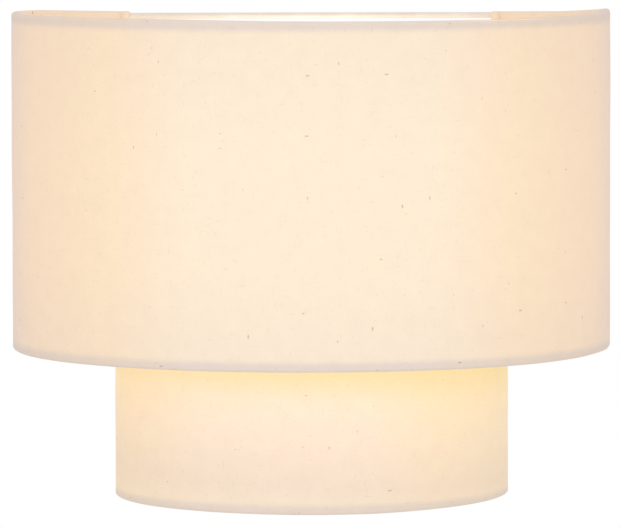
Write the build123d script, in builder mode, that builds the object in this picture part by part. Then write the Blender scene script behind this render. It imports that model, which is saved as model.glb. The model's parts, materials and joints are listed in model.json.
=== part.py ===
from build123d import *
from math import cos, hypot, radians, sin, sqrt, tan
import os

# A two-tier half-round fabric wall light, in millimetres, +Z up. The wall is the plane Y = 0 and
# the light stands out of it towards -Y. The origin is the middle of the two wall fixing slots.

# ---------------------------------------------------------------------------------------------
# Driving dimensions
# ---------------------------------------------------------------------------------------------

# The shade
upper_width = 300.0  # across the upper tier, outside its fabric
upper_height = 169.0
lower_width = 197.5  # across the lower tier, outside its fabric
lower_drop = 73.5  # how far the lower tier hangs below the upper one
tier_overlap = 9.0  # how far the lower tier reaches up inside the upper one
wall_gap = 1.0  # between the wall and the back of the shade
upper_corner = 8.0  # plan radius where the upper tier turns along the wall
lower_corner = 6.0
fabric = 0.5  # thickness of the cotton
lining = 0.4  # thickness of the stiff lining
bond = 0.1  # clearance between cotton, lining and wire
hem_height = 5.0
ring_wire = 3.0  # diameter of the rings and the back struts
spoke_wire = 2.5  # diameter of the spokes between the tiers
spoke_angle = 60.0  # between the front spoke and each side spoke
strut_x = 92.5  # from the middle to each back strut
fold_reach = 3.6  # how far the cotton turns back behind a strut
pierce = 0.4  # clearance where a wire or a tab passes through the cotton

# The back plate and what hangs on it
plate_height = 90.0
plate_depth = 18.0
plate_sheet = 1.0
plate_corner = 8.0
plate_edge = 3.0
bar_clearance = 2.5  # between the plate and the lower tier's top ring
tab_sheet = 1.5
tab_height = 20.0
tab_bend = 1.4
tab_seat = 0.2  # between a tab and the back plate
tab_side_gap = 4.4  # between a tab and the side of the back plate
stud_inset = 9.0  # from the side of the plate to each shade stud
stud_radius = 2.0
stud_length = 14.0
stud_head_radius = 3.5
stud_head_height = 1.2
tab_margin = 8.0  # from the middle of a tab's hole to its free end
hole_clearance = 0.2
running_clearance = 0.05
nut_radius = 6.0
nut_length = 8.0
nut_neck_radius = 4.2
nut_neck_length = 2.5
knurl_count = 20
knurl_depth = 0.5
nut_seat = 0.2
head_taper = 14.0  # slope of a screw head's side, in degrees
slot_share = 0.26  # width of a cross slot beside the radius of its head

# The mounting strap
slot_spacing = 60.3
slot_length = 14.0
slot_width = 4.8
cable_hole_radius = 8.0
strap_height = 24.0
strap_sheet = 2.0
strap_leg_margin = 4.8  # from the end of a slot to the leg of the strap
strap_foot = 16.0
strap_bend = 1.0
plate_screw_radius = 2.0
plate_screw_grip = 5.0
plate_screw_head_radius = 4.0
plate_screw_head_height = 2.4

# The earth point on the strap
earth_x = 15.6
earth_screw_radius = 2.0
earth_head_radius = 3.6
earth_head_height = 2.0
washer_radius = 4.2
washer_sheet = 0.8
lug_sheet = 0.8
lug_radius = 3.8
lug_barrel_radius = 1.9
lug_barrel_length = 7.0
lug_neck = 3.0

# The terminal block
block_x = -42.0
block_rise = 6.0  # from the arm up to the middle pole
block_width = 16.0
block_depth = 12.0
pole_pitch = 8.0
barrel_radius = 2.5
barrel_bore = 1.5
barrel_length = 13.0
terminal_screw_radius = 1.2
terminal_screw_length = 3.6
terminal_slot = 0.6
terminal_screw_pitch = 7.0
screw_well_radius = 1.7
block_screw_radius = 1.0
block_screw_head_radius = 2.0

# The arm
arm_radius = 5.0
arm_bore = 4.0
arm_reach = 62.0  # from the wall to the upright end of the arm
arm_bend = 12.0
locknut_across = 14.0
locknut_thick = 3.0
locknut_margin = 1.0
arm_washer_sheet = 1.0
arm_washer_radius = 7.0
arm_tail = 1.0  # how far the arm stands past its locknut
flange_radius = 9.0
flange_thick = 4.0

# The lampholder
cap_height = 14.0
cap_neck_radius = 8.0
cap_neck_height = 5.0
cap_flare = 5.0
holder_radius = 13.0
holder_wall = 1.6
cap_wall = 2.0
arm_grip = 8.0  # how far the arm goes up into the holder cap
holder_height = 42.5
insert_height = 7.0
insert_fit = 0.1
mouth_radius = 9.0
mouth_lip = 1.6
wire_pitch = 10.0  # between the two wire holes of the insert
shell_radius = 7.25  # inside the crests of its thread
shell_wall = 0.4
thread_pitch = 2.8
thread_depth = 0.5
thread_turns = 5
shell_flange_bore = 4.2
contact_width = 4.0
contact_sheet = 0.4
contact_length = 6.4
contact_foot = 0.9
contact_slope = 1.1
contact_rise = 2.2
contact_screw_offset = 6.5
contact_screw_radius = 1.4
contact_screw_head = 2.2
contact_screw_head_height = 1.5
grub_radius = 1.5
grub_length = 2.7

# The lamp
lamp_length = 70.0
globe_radius = 22.5
globe_wall = 1.2
lamp_tip_radius = 2.4
lamp_tip_height = 1.6
lamp_cap_radius = 6.95
lamp_cap_wall = 0.4
insulator_height = 3.0
insulator_base_radius = 3.2
housing_height = 16.0
housing_foot_radius = 8.2
housing_wall = 1.4
housing_bore = 5.0
deck_bore = 2.0
board_radius = 13.5
board_sheet = 1.2
chip_size = 2.8
chip_height = 0.8
chip_count = 8
chip_circle = 9.0
driver_width = 12.0
driver_sheet = 1.2
driver_height = 12.0
capacitor_radius = 2.4
capacitor_height = 8.0
part_seat = 0.1  # between pieces that touch inside the lamp and the holder

# The wires
wire_radius = 1.1
core_radius = 0.6
core_length = 5.0
wire_spread = 1.3  # from the arm's axis to each wire inside it
bend_share = 0.45  # of a run that a bend at its end may use

# ---------------------------------------------------------------------------------------------
# Places worked out from the dimensions
# ---------------------------------------------------------------------------------------------

ring_offset = fabric + bond + ring_wire / 2  # from an outer edge of the cotton to a ring's axis
ring_inset = ring_offset + lining + bond  # from the outside of a tier in to a ring's axis
lip_inset = ring_offset + ring_wire / 2 + bond  # to the inner lip of a hem
bar_y = -(wall_gap + ring_offset)  # axis of the straight bar at the back of each ring
strut_y = bar_y - ring_wire - bond
lip_gap = ring_wire / 2 + bond  # from a bar's axis to the inner lip of a hem
hem_round = 2 * fabric

lower_top = -plate_height / 2 - bar_clearance - ring_wire / 2 + ring_offset
upper_bottom = lower_top - tier_overlap
upper_top = upper_bottom + upper_height
lower_bottom = upper_bottom - lower_drop
upper_radius = upper_width / 2
lower_radius = lower_width / 2
spoke_angles = (-spoke_angle, 0, spoke_angle)

fold_x = strut_x - ring_wire / 2 - bond - fabric  # inner end of each return flap
fold_depth = -strut_y + ring_wire / 2 + bond + fabric  # from the wall to the front of the fold
tab_inner_x = strut_x - ring_wire / 2 - bond - tab_sheet
plate_width = 2 * (tab_inner_x - tab_side_gap)
stud_x = plate_width / 2 - stud_inset
tab_foot_y = plate_depth + tab_seat
face_inside = plate_depth - plate_sheet

leg_x = slot_spacing / 2 + slot_length / 2 + strap_leg_margin
plate_screw_x = leg_x + strap_foot / 2 + strap_sheet / 2

arm_z = -(plate_height / 2 - plate_sheet - locknut_margin - locknut_across / sqrt(3))
arm_start = face_inside - arm_washer_sheet - locknut_thick - arm_tail
holder_base = arm_z + arm_bend + part_seat
seat_z = holder_base + cap_height + insert_height  # top of the holder insert
lamp_tip_z = seat_z + contact_rise + contact_sheet + part_seat
lamp_cap_z = lamp_tip_z + lamp_tip_height + insulator_height
housing_z = lamp_cap_z + thread_turns * thread_pitch
globe_z = lamp_tip_z + lamp_length - globe_radius
board_z = housing_z + housing_height
housing_top_radius = sqrt(globe_radius**2 - (globe_z - board_z) ** 2)

block_y = -(face_inside - block_depth / 2)
block_z = arm_z + block_rise
block_height = 3 * pole_pitch
pole_heights = [block_z + step * pole_pitch for step in (-1, 0, 1)]
barrel_mouth_x = block_x + barrel_length / 2 + part_seat
block_face = block_y + block_depth / 2  # its side towards the wall
lamp_axis = Axis((0, -arm_reach, 0), (0, 0, 1))
sides = ((-1, "left"), (1, "right"))


# ---------------------------------------------------------------------------------------------
# Shapes that several pieces share
# ---------------------------------------------------------------------------------------------


def trace_half_round(radius, corner, inset, lined):
    """Outline of a half-round tier in the open line, from the middle of its straight back: a circle
    cut off straight along the wall, its corners rounded, all of it inset from the outside of the
    tier. A lined outline stays clear of the lining too, which lies along the curve only."""
    extra = lining + bond if lined else 0
    reach = radius - inset - extra
    back = -(wall_gap + inset)
    bend = max(corner - inset - extra, bond)
    centre_y = back - bend
    centre_x = sqrt((reach - bend) ** 2 - centre_y**2)
    # The rounding ends where the line from the origin through its centre meets the circle
    away_x, away_y = centre_x / (reach - bend), centre_y / (reach - bend)
    lean = hypot(away_x, away_y + 1)
    middle = (centre_x + bend * away_x / lean, centre_y + bend * (away_y + 1) / lean)
    end_x, end_y = reach * away_x, reach * away_y
    Line((0, back), (centre_x, back))
    ThreePointArc((centre_x, back), middle, (end_x, end_y))
    ThreePointArc((end_x, end_y), (0, -reach), (-end_x, end_y))
    ThreePointArc((-end_x, end_y), (-middle[0], middle[1]), (-centre_x, back))
    Line((-centre_x, back), (0, back))


def half_round(radius, corner, inset=0.0, lined=False, mode=Mode.ADD):
    """Half-round face in the open sketch."""
    with BuildLine() as outline:
        trace_half_round(radius, corner, inset, lined)
    make_face(outline.edges(), mode=mode)


def block_between(low, high, mode=Mode.ADD):
    """Box between its lowest and highest corners, in the open part."""
    size = [top - bottom for bottom, top in zip(low, high)]
    middle = [(top + bottom) / 2 for bottom, top in zip(low, high)]
    with Locations(tuple(middle)):
        Box(*size, mode=mode)


def rod_between(start, end, radius, mode=Mode.ADD):
    """Round rod between two points, in the open part."""
    axis = Vector(*end) - Vector(*start)
    with BuildSketch(Plane(origin=start, z_dir=axis)) as section:
        Circle(radius)
    extrude(section.sketch, amount=axis.length, mode=mode)


def spoke_ends(angle):
    """Both ends of the spoke at an angle from the front: on the lower top ring and on the upper
    bottom ring, each just clear of the ring's wire."""
    start_reach = lower_radius - ring_inset + ring_wire / 2 + bond
    end_reach = upper_radius - ring_inset - ring_wire / 2 - bond
    across, out = sin(radians(angle)), -cos(radians(angle))
    start = (start_reach * across, start_reach * out, lower_top - ring_offset)
    end = (end_reach * across, end_reach * out, upper_bottom + ring_offset)
    return start, end


def pierce_for_spokes():
    """Holes through the open part where the three spokes pass."""
    for angle in spoke_angles:
        start, end = spoke_ends(angle)
        rod_between(start, end, spoke_wire / 2 + pierce, mode=Mode.SUBTRACT)


def tier_cover(radius, corner, bottom, top):
    """Cotton of one tier in the open part: an upright wall with a rolled hem at each end, and
    return flaps along the wall that fold round the back struts."""
    with BuildSketch(Plane.XY.offset(bottom)) as outside:
        half_round(radius, corner)
    extrude(outside.sketch, amount=top - bottom)
    caps = faces().sort_by(Axis.Z)
    fillet(caps[0].edges() + caps[-1].edges(), hem_round)
    # Hollow to the inner lips of the hems, then to the cotton's thickness between the hems
    with BuildSketch(Plane.XY.offset(bottom)) as mouth:
        half_round(radius, corner, lip_inset + fabric, lined=True)
    extrude(mouth.sketch, amount=top - bottom, mode=Mode.SUBTRACT)
    with BuildSketch(Plane.XY.offset(bottom + hem_height)) as inside:
        half_round(radius, corner, fabric)
    extrude(inside.sketch, amount=top - bottom - 2 * hem_height, mode=Mode.SUBTRACT)
    # The channel that each ring lies in, with the edge of the lining
    for low in (bottom + fabric, top - hem_height):
        with BuildSketch(Plane.XY.offset(low)) as channel:
            half_round(radius, corner, fabric)
            half_round(radius, corner, lip_inset, lined=True, mode=Mode.SUBTRACT)
        extrude(channel.sketch, amount=hem_height - fabric, mode=Mode.SUBTRACT)
    block_between((-fold_x, -fold_depth, bottom), (fold_x, 0, top), Mode.SUBTRACT)
    for side in (-1, 1):
        fold_round_strut(side, bottom, top)


def fold_round_strut(side, bottom, top):
    """The end of one return flap, folded round its strut, in the open part. Its wall has notches
    for the straight bars of the two rings."""
    near, far = sorted((side * fold_x, side * (fold_x + fabric)))
    block_between((near, -fold_depth, bottom), (far, -wall_gap, top))
    low_x, high_x = sorted((side * fold_x, side * (fold_x + fold_reach)))
    block_between((low_x, -fold_depth, bottom), (high_x, fabric - fold_depth, top))
    for low in (bottom + fabric, top - hem_height):
        high = low + hem_height - fabric
        back_wall = -(wall_gap + fabric)
        block_between((near, bar_y - lip_gap, low), (far, back_wall, high), Mode.SUBTRACT)
    strut_gap = ring_wire / 2 + bond
    with Locations((side * strut_x, strut_y, (bottom + top) / 2)):
        Box(2 * strut_gap, 2 * strut_gap, top - bottom, mode=Mode.SUBTRACT)


def pan_head_screw(seat, head_radius, head_height, shank_radius, shank_length):
    """Cross-slotted screw in the open part. seat is the plane under its head, facing the head."""
    with BuildSketch(seat) as head:
        Circle(head_radius)
    extrude(head.sketch, amount=head_height, taper=head_taper)
    with BuildSketch(seat.offset(head_height)) as cross:
        Rectangle(head_radius, head_radius * slot_share)
        Rectangle(head_radius * slot_share, head_radius)
    extrude(cross.sketch, amount=-head_height / 2, mode=Mode.SUBTRACT)
    with BuildSketch(seat) as shank:
        Circle(shank_radius)
    extrude(shank.sketch, amount=-shank_length)


def wall_view(depth):
    """Plane parallel to the wall, this far out from it, facing the room."""
    return Plane.XZ.offset(depth)


def bend_radii(route, largest):
    """Radius of each bend of a route: 0.45 of the shorter run beside it over the tangent of half
    the turn, but no more than largest."""
    radii = []
    for before, corner, after in zip(route, route[1:], route[2:]):
        run_in = Vector(*corner) - Vector(*before)
        run_out = Vector(*after) - Vector(*corner)
        shorter = min(run_in.length, run_out.length)
        half_turn = radians(run_in.get_angle(run_out) / 2)
        radii.append(min(bend_share * shorter / tan(half_turn), largest))
    return radii


def wire_along(name, route):
    """Insulated wire in the open part: a tube of straight runs joined by arcs, with a bare core
    standing out of its first end."""
    radii = bend_radii(route, arm_bend)
    print(name, "bend radii:", [round(radius, 1) for radius in radii])
    with BuildLine() as path:
        FilletPolyline(*route, radius=radii)
    start = Vector(*route[0])
    leaving = (Vector(*route[1]) - start).normalized()
    with BuildSketch(Plane(origin=start, z_dir=leaving)) as section:
        Circle(wire_radius)
    sweep(section.sketch, path=path.line)
    rod_between(tuple(start - leaving * core_length), tuple(start), core_radius)


def turned(points):
    """Solid of revolution about the lamp's axis in the open part, from (radius, height) points."""
    with BuildSketch(wall_view(arm_reach)) as profile:
        with BuildLine():
            Polyline(*points, close=True)
        make_face()
    revolve(profile.sketch, axis=lamp_axis)


def thread_profile(radius, wall, bottom):
    """Closed (radius, height) outline of a thin rolled thread, drawn as rings: its crests stand
    thread_depth inside radius, and its wall is measured outwards."""
    half = thread_pitch / 2
    steps = range(2 * thread_turns + 1)
    inner = [(radius + (thread_depth if step % 2 else 0), bottom + step * half) for step in steps]
    outer = [(reach + wall, height) for reach, height in inner]
    return inner + outer[::-1]


# ---------------------------------------------------------------------------------------------
# The shade: cotton covers and their lining
# ---------------------------------------------------------------------------------------------

os.makedirs("parts", exist_ok=True)

with BuildPart() as upper_cover:
    tier_cover(upper_radius, upper_corner, upper_bottom, upper_top)
    pierce_for_spokes()
    # A notch in each fold lets the hanging tab reach its strut
    for side, _ in sides:
        low_x, high_x = sorted((side * (fold_x - bond), side * (fold_x + fabric + pierce)))
        notch_top = tab_height / 2 + pierce
        low = (low_x, -fold_depth - bond, -notch_top)
        high = (high_x, strut_y + ring_wire / 2 + pierce, notch_top)
        block_between(low, high, Mode.SUBTRACT)
        # and a smaller one lets the straight bar of the lower tier's top ring through
        low = (low_x, bar_y - lip_gap, lower_top - ring_offset - lip_gap)
        high = (high_x, bar_y + lip_gap, lower_top - ring_offset + lip_gap)
        block_between(low, high, Mode.SUBTRACT)
upper_cover.part.label = "upper_cover"
export_step(upper_cover.part, "parts/upper_cover.step")

with BuildPart() as lower_cover:
    tier_cover(lower_radius, lower_corner, lower_bottom, lower_top)
    pierce_for_spokes()
    # Above the upper tier's hem the back is cut away, where the upper flaps lie
    for side, _ in sides:
        low_x, high_x = sorted((side * fold_x, side * lower_radius))
        low = (low_x, -fold_depth, upper_bottom - pierce)
        block_between(low, (high_x, 0, lower_top), Mode.SUBTRACT)
lower_cover.part.label = "lower_cover"
export_step(lower_cover.part, "parts/lower_cover.step")

tiers = (
    ("upper", upper_radius, upper_corner, upper_bottom, upper_top),
    ("lower", lower_radius, lower_corner, lower_bottom, lower_top),
)
for tier, radius, corner, bottom, top in tiers:
    with BuildPart() as liner:
        with BuildSketch(Plane.XY.offset(bottom + fabric + bond)):
            half_round(radius, corner, fabric + bond)
            half_round(radius, corner, fabric + bond + lining, mode=Mode.SUBTRACT)
            # The lining stops short of the corners, so the flaps are cotton alone
            with Locations((0, 0)):
                back_cut = 2 * (wall_gap + corner + fold_reach)
                Rectangle(2 * radius, back_cut, mode=Mode.SUBTRACT)
        extrude(amount=top - bottom - 2 * (fabric + bond))
        pierce_for_spokes()
    liner.part.label = f"{tier}_liner"
    export_step(liner.part, f"parts/{tier}_liner.step")

# ---------------------------------------------------------------------------------------------
# The shade: wire frame and hanging tabs
# ---------------------------------------------------------------------------------------------

for tier, radius, corner, bottom, top in tiers:
    for end, height in (("bottom", bottom + ring_offset), ("top", top - ring_offset)):
        with BuildPart() as ring:
            with BuildLine(Plane.XY.offset(height)) as path:
                trace_half_round(radius, corner, ring_offset, lined=True)
            with BuildSketch(Plane(origin=(0, bar_y, height), z_dir=(1, 0, 0))):
                Circle(ring_wire / 2)
            sweep(path=path.line)
        ring.part.label = f"{tier}_{end}_ring"
        export_step(ring.part, f"parts/{tier}_{end}_ring.step")

for side, name in sides:
    with BuildPart() as back_strut:
        foot = (side * strut_x, strut_y, lower_bottom + ring_offset)
        head = (side * strut_x, strut_y, upper_top - ring_offset)
        rod_between(foot, head, ring_wire / 2)
    back_strut.part.label = f"{name}_back_strut"
    export_step(back_strut.part, f"parts/{name}_back_strut.step")

for angle, name in zip(spoke_angles, ("left", "front", "right")):
    with BuildPart() as spoke:
        rod_between(*spoke_ends(angle), spoke_wire / 2)
    spoke.part.label = f"{name}_spoke"
    export_step(spoke.part, f"parts/{name}_spoke.step")

for side, name in sides:
    with BuildPart() as hanging_tab:
        with BuildSketch(Plane.XY.offset(-tab_height / 2)):
            tab_end = tab_foot_y + tab_sheet
            leg_start = strut_y + ring_wire / 2
            with Locations((side * (tab_inner_x + tab_sheet / 2), (leg_start - tab_end) / 2)):
                Rectangle(tab_sheet, tab_end + leg_start)
            foot_end = stud_x - tab_margin
            foot_middle = (foot_end + tab_inner_x + tab_sheet) / 2
            with Locations((side * foot_middle, -tab_foot_y - tab_sheet / 2)):
                Rectangle(tab_inner_x + tab_sheet - foot_end, tab_sheet)
        extrude(amount=tab_height)
        bend = hanging_tab.edges().filter_by(Axis.Z).sort_by_distance(
            (side * (tab_inner_x + tab_sheet), -tab_end, 0)
        )[0]
        fillet(bend, tab_bend)
        with BuildSketch(wall_view(tab_foot_y)):
            with Locations((side * stud_x, 0)):
                Circle(stud_radius + hole_clearance)
        extrude(amount=tab_sheet, mode=Mode.SUBTRACT)
    hanging_tab.part.label = f"{name}_hanging_tab"
    export_step(hanging_tab.part, f"parts/{name}_hanging_tab.step")

for side, name in sides:
    with BuildPart() as thumb_nut:
        nut_start = wall_view(tab_foot_y + tab_sheet + nut_seat)
        with BuildSketch(nut_start):
            with Locations((side * stud_x, 0)):
                Circle(nut_neck_radius)
        extrude(amount=nut_neck_length)
        with BuildSketch(nut_start.offset(nut_neck_length)):
            with Locations((side * stud_x, 0)):
                Circle(nut_radius)
                with PolarLocations(nut_radius, knurl_count):
                    Circle(knurl_depth, mode=Mode.SUBTRACT)
        extrude(amount=nut_length - nut_neck_length)
        with BuildSketch(nut_start):
            with Locations((side * stud_x, 0)):
                Circle(stud_radius + running_clearance)
        extrude(amount=nut_length, mode=Mode.SUBTRACT)
    thumb_nut.part.label = f"{name}_thumb_nut"
    export_step(thumb_nut.part, f"parts/{name}_thumb_nut.step")

# ---------------------------------------------------------------------------------------------
# The wall side: strap, back plate and their fixings
# ---------------------------------------------------------------------------------------------

with BuildPart() as mounting_strap:
    with BuildSketch(Plane.XY.offset(-strap_height / 2)):
        with Locations((0, -strap_sheet / 2)):
            Rectangle(2 * (leg_x + strap_sheet), strap_sheet)
        for side, _ in sides:
            with Locations((side * (leg_x + strap_sheet / 2), -face_inside / 2)):
                Rectangle(strap_sheet, face_inside)
            with Locations((side * (leg_x + strap_foot / 2), strap_sheet / 2 - face_inside)):
                Rectangle(strap_foot, strap_sheet)
    extrude(amount=strap_height)
    for side, _ in sides:
        for bend_x, bend_y in ((leg_x + strap_sheet, 0), (leg_x, -face_inside)):
            bends = mounting_strap.edges().filter_by(Axis.Z)
            fillet(bends.sort_by_distance((side * bend_x, bend_y, 0))[0], strap_bend)
    with BuildSketch(Plane.XZ):
        Circle(cable_hole_radius)
        with Locations((-slot_spacing / 2, 0), (slot_spacing / 2, 0)):
            SlotOverall(slot_length, slot_width)
        with Locations((earth_x, 0)):
            Circle(earth_screw_radius + running_clearance)
        with Locations((-plate_screw_x, 0), (plate_screw_x, 0)):
            Circle(plate_screw_radius + running_clearance)
    extrude(amount=face_inside, mode=Mode.SUBTRACT)
mounting_strap.part.label = "mounting_strap"
export_step(mounting_strap.part, "parts/mounting_strap.step")

with BuildPart() as back_plate:
    with BuildSketch(Plane.XZ):
        RectangleRounded(plate_width, plate_height, plate_corner)
    extrude(amount=plate_depth)
    fillet(back_plate.faces().sort_by(Axis.Y)[0].edges(), plate_edge)
    offset(amount=-plate_sheet, openings=back_plate.faces().sort_by(Axis.Y)[-1])
    with BuildSketch(wall_view(plate_depth)):
        with Locations((-stud_x, 0), (stud_x, 0)):
            Circle(stud_radius + running_clearance)
        with Locations((-plate_screw_x, 0), (plate_screw_x, 0)):
            Circle(plate_screw_radius + hole_clearance)
        with Locations((0, arm_z)):
            Circle(arm_radius + running_clearance)
        with Locations((block_x, block_z + pole_pitch / 2)):
            Circle(block_screw_radius + running_clearance)
    extrude(amount=-plate_sheet, mode=Mode.SUBTRACT)
back_plate.part.label = "back_plate"
export_step(back_plate.part, "parts/back_plate.step")

with BuildPart() as plate_screws:
    for side, _ in sides:
        seat = Plane(origin=(side * plate_screw_x, -plate_depth, 0), z_dir=(0, -1, 0))
        pan_head_screw(
            seat,
            plate_screw_head_radius,
            plate_screw_head_height,
            plate_screw_radius,
            plate_screw_grip,
        )
plate_screws.part.label = "plate_screws"
export_step(plate_screws.part, "parts/plate_screws.step")

with BuildPart() as shade_studs:
    with BuildSketch(wall_view(face_inside)):
        with Locations((-stud_x, 0), (stud_x, 0)):
            Circle(stud_radius)
    extrude(amount=plate_sheet + stud_length)
    chamfer(shade_studs.faces().sort_by(Axis.Y)[0:2].edges(), stud_radius / 4)
    with BuildSketch(wall_view(face_inside)):
        with Locations((-stud_x, 0), (stud_x, 0)):
            Circle(stud_head_radius)
    extrude(amount=-stud_head_height)
shade_studs.part.label = "shade_studs"
export_step(shade_studs.part, "parts/shade_studs.step")

washer_y = strap_sheet + washer_sheet
lug_y = washer_y + lug_sheet

with BuildPart() as earth_washer:
    with BuildSketch(wall_view(strap_sheet)):
        with Locations((earth_x, 0)):
            Circle(washer_radius)
            Circle(earth_screw_radius + hole_clearance, mode=Mode.SUBTRACT)
    extrude(amount=washer_sheet)
earth_washer.part.label = "earth_washer"
export_step(earth_washer.part, "parts/earth_washer.step")

lug_barrel_y = -(strap_sheet + part_seat + lug_barrel_radius)
lug_barrel_top = -(washer_radius + pierce)

with BuildPart() as ring_terminal:
    with BuildSketch(wall_view(washer_y)):
        with Locations((earth_x, 0)):
            Circle(lug_radius)
        with Locations((earth_x, lug_barrel_top)):
            Rectangle(lug_neck, lug_radius)
    extrude(amount=lug_sheet)
    with BuildSketch(wall_view(washer_y)):
        with Locations((earth_x, 0)):
            Circle(earth_screw_radius + hole_clearance)
    extrude(amount=lug_sheet, mode=Mode.SUBTRACT)
    barrel_start = (earth_x, lug_barrel_y, lug_barrel_top)
    barrel_end = (earth_x, lug_barrel_y, lug_barrel_top - lug_barrel_length)
    rod_between(barrel_start, barrel_end, lug_barrel_radius)
    wire_stop = (earth_x, lug_barrel_y, lug_barrel_top - lug_barrel_length / 2)
    rod_between(wire_stop, barrel_end, wire_radius + running_clearance, Mode.SUBTRACT)
ring_terminal.part.label = "ring_terminal"
export_step(ring_terminal.part, "parts/ring_terminal.step")

with BuildPart() as earth_screw:
    seat = Plane(origin=(earth_x, -lug_y, 0), z_dir=(0, -1, 0))
    pan_head_screw(seat, earth_head_radius, earth_head_height, earth_screw_radius, lug_y)
earth_screw.part.label = "earth_screw"
export_step(earth_screw.part, "parts/earth_screw.step")

# ---------------------------------------------------------------------------------------------
# The terminal block
# ---------------------------------------------------------------------------------------------

screw_xs = (block_x - terminal_screw_pitch / 2, block_x + terminal_screw_pitch / 2)
screw_places = [(screw_x, height) for height in pole_heights for screw_x in screw_xs]
screw_tip = -(block_y + core_radius + part_seat)

with BuildPart() as terminal_block:
    with Locations((block_x, block_y, block_z)):
        Box(block_width, block_depth, block_height)
    for height in pole_heights:
        start = (block_x - block_width / 2, block_y, height)
        end = (block_x + block_width / 2, block_y, height)
        rod_between(start, end, barrel_radius + running_clearance, Mode.SUBTRACT)
    with BuildSketch(wall_view(-block_face)):
        with Locations(*screw_places):
            Circle(screw_well_radius)
    extrude(amount=block_depth / 2, mode=Mode.SUBTRACT)
    with BuildSketch(wall_view(-block_face)):
        with Locations((block_x, block_z + pole_pitch / 2)):
            Circle(block_screw_radius + running_clearance)
    extrude(amount=block_depth, mode=Mode.SUBTRACT)
terminal_block.part.label = "terminal_block"
export_step(terminal_block.part, "parts/terminal_block.step")

with BuildPart() as terminal_barrels:
    for height in pole_heights:
        start = (block_x - barrel_length / 2, block_y, height)
        end = (block_x + barrel_length / 2, block_y, height)
        rod_between(start, end, barrel_radius)
        rod_between(start, end, barrel_bore, Mode.SUBTRACT)
    with BuildSketch(wall_view(-block_face)):
        with Locations(*screw_places):
            Circle(terminal_screw_radius + running_clearance)
    extrude(amount=block_depth / 2, mode=Mode.SUBTRACT)
terminal_barrels.part.label = "terminal_barrels"
export_step(terminal_barrels.part, "parts/terminal_barrels.step")

with BuildPart() as terminal_screws:
    with BuildSketch(wall_view(screw_tip)):
        with Locations(*screw_places):
            Circle(terminal_screw_radius)
    extrude(amount=-terminal_screw_length)
    with BuildSketch(wall_view(screw_tip - terminal_screw_length)):
        with Locations(*screw_places):
            Rectangle(2 * terminal_screw_radius, terminal_slot)
    extrude(amount=terminal_slot, mode=Mode.SUBTRACT)
terminal_screws.part.label = "terminal_screws"
export_step(terminal_screws.part, "parts/terminal_screws.step")

with BuildPart() as block_screw:
    place = (block_x, block_face, block_z + pole_pitch / 2)
    pan_head_screw(
        Plane(origin=place, z_dir=(0, 1, 0)),
        block_screw_head_radius,
        block_screw_head_radius / 2,
        block_screw_radius,
        block_depth + plate_sheet,
    )
block_screw.part.label = "block_screw"
export_step(block_screw.part, "parts/block_screw.step")

# ---------------------------------------------------------------------------------------------
# The arm
# ---------------------------------------------------------------------------------------------

arm_top = holder_base + arm_grip

with BuildPart() as arm_tube:
    with BuildLine() as path:
        corners = ((0, -arm_start, arm_z), (0, -arm_reach, arm_z), (0, -arm_reach, arm_top))
        FilletPolyline(*corners, radius=arm_bend)
    with BuildSketch(Plane(origin=corners[0], z_dir=(0, -1, 0))):
        Circle(arm_radius)
        Circle(arm_bore, mode=Mode.SUBTRACT)
    sweep(path=path.line)
arm_tube.part.label = "arm_tube"
export_step(arm_tube.part, "parts/arm_tube.step")

with BuildPart() as arm_flange:
    with BuildSketch(wall_view(plate_depth)):
        with Locations((0, arm_z)):
            Circle(flange_radius)
    extrude(amount=flange_thick)
    chamfer(arm_flange.faces().sort_by(Axis.Y)[0].edges(), flange_thick / 2)
    with BuildSketch(wall_view(plate_depth)):
        with Locations((0, arm_z)):
            Circle(arm_radius + running_clearance)
    extrude(amount=flange_thick, mode=Mode.SUBTRACT)
arm_flange.part.label = "arm_flange"
export_step(arm_flange.part, "parts/arm_flange.step")

with BuildPart() as arm_washer:
    with BuildSketch(wall_view(face_inside)):
        with Locations((0, arm_z)):
            Circle(arm_washer_radius)
            Circle(arm_radius + running_clearance, mode=Mode.SUBTRACT)
    extrude(amount=-arm_washer_sheet)
arm_washer.part.label = "arm_washer"
export_step(arm_washer.part, "parts/arm_washer.step")

with BuildPart() as arm_locknut:
    with BuildSketch(wall_view(face_inside - arm_washer_sheet)):
        with Locations((0, arm_z)):
            RegularPolygon(locknut_across / 2, 6, major_radius=False)
            Circle(arm_radius + running_clearance, mode=Mode.SUBTRACT)
    extrude(amount=-locknut_thick)
arm_locknut.part.label = "arm_locknut"
export_step(arm_locknut.part, "parts/arm_locknut.step")

# ---------------------------------------------------------------------------------------------
# The lampholder
# ---------------------------------------------------------------------------------------------

cap_top = holder_base + cap_height
mouth_z = holder_base + holder_height
grub_z = holder_base + cap_neck_height / 2
contact_y = contact_screw_offset - arm_reach
contact_places = [(side * wire_pitch / 2, contact_y) for side, _ in sides]

with BuildPart() as holder_cap:
    cap_bore = arm_radius + running_clearance
    cavity_radius = holder_radius - cap_wall
    turned(
        (
            (cap_bore, holder_base),
            (cap_neck_radius, holder_base),
            (cap_neck_radius, holder_base + cap_neck_height),
            (holder_radius, holder_base + cap_neck_height + cap_flare),
            (holder_radius, cap_top),
            (cavity_radius, cap_top),
            (cavity_radius, cap_top - cap_wall),
            (cap_bore, arm_top),
        )
    )
    grub_start = (0, -arm_reach, grub_z)
    grub_end = (0, cap_neck_radius - arm_reach, grub_z)
    rod_between(grub_start, grub_end, grub_radius + running_clearance, Mode.SUBTRACT)
holder_cap.part.label = "holder_cap"
export_step(holder_cap.part, "parts/holder_cap.step")

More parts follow.
